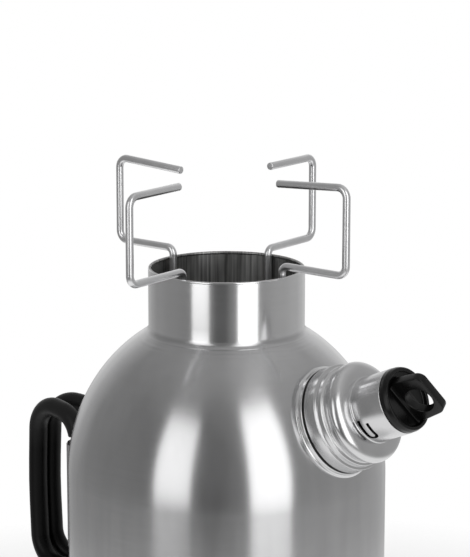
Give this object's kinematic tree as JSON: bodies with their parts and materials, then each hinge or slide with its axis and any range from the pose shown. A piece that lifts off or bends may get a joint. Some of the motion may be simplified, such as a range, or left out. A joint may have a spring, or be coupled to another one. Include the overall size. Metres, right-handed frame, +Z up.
{
  "type": "fire kettle",
  "caption": "Domed water jacket round a chimney on a fire bowl, with a twist-lock pouring head, pull stopper, folding loop handle and crossed wire pot supports.",
  "frame": {"origin": "on the ground under the centre of the fire bowl's flat foot", "axes": "+Z up along the chimney, +X towards the pouring spout, -X towards the handle, +Y to the kettle's left"},
  "size_m": [0.2947, 0.18, 0.3707],
  "materials": {
    "bowl_steel": "brushed stainless steel, heat-tinted round the air holes",
    "ring_steel": "brushed stainless steel",
    "shell_steel": "stainless steel brushed round the body",
    "tube_steel": "stainless steel darkened by soot",
    "neck_steel": "polished stainless steel",
    "spout_steel": "polished stainless steel",
    "bracket_steel": "satin stainless steel",
    "wire_steel": "drawn and polished stainless wire",
    "seal_black": "matt black silicone",
    "sleeve_black": "satin black silicone sleeve",
    "bush_black": "matt black moulding"
  },
  "bodies": {
    "fire_base": {"fire_bowl": "bowl_steel"},
    "kettle": {"base_ring": "ring_steel", "body_shell": "shell_steel", "fire_tube": "tube_steel", "chimney_neck": "neck_steel", "spout_collar": "spout_steel", "handle_bracket": "bracket_steel", "handle_bush_upper_left": "bush_black", "handle_bush_lower_left": "bush_black", "handle_bush_upper_right": "bush_black", "handle_bush_lower_right": "bush_black"},
    "pouring_head": {"spout_head": "spout_steel", "spout_gasket": "seal_black"},
    "stopper": {"spout_stopper": "seal_black"},
    "handle_loop_left": {"handle_rod_left": "wire_steel", "handle_grip_left": "sleeve_black"},
    "handle_loop_right": {"handle_rod_right": "wire_steel", "handle_grip_right": "sleeve_black"},
    "lower_pot_support": {"pot_support_lower": "wire_steel"},
    "upper_pot_support": {"pot_support_upper": "wire_steel"}
  },
  "joints": [
    {"name": "kettle_lift", "type": "slide", "parent": "fire_base", "child": "kettle", "axis": [0, 0, 1], "range_m": [0, 0.12]},
    {"name": "spout_head_twist", "type": "hinge", "parent": "kettle", "child": "pouring_head", "pos_m": [0, 0, 0.2053], "axis": [0.9143, 0, 0.4051], "range_deg": [0, 60]},
    {"name": "stopper_pull", "type": "slide", "parent": "pouring_head", "child": "stopper", "axis": [0.9143, 0, 0.4051], "range_m": [0, 0.04]},
    {"name": "handle_left_fold", "type": "hinge", "parent": "kettle", "child": "handle_loop_left", "pos_m": [-0.105, 0.0116, 0.165], "axis": [0, 0, 1], "range_deg": [-125, 0]},
    {"name": "handle_right_fold", "type": "hinge", "parent": "kettle", "child": "handle_loop_right", "pos_m": [-0.105, -0.0116, 0.165], "axis": [0, 0, 1], "range_deg": [0, 125]},
    {"name": "lower_support_lift", "type": "slide", "parent": "kettle", "child": "lower_pot_support", "axis": [0, 0, 1], "range_m": [0, 0.06]},
    {"name": "upper_support_lift", "type": "slide", "parent": "lower_pot_support", "child": "upper_pot_support", "axis": [0, 0, 1], "range_m": [0, 0.06]}
  ]
}
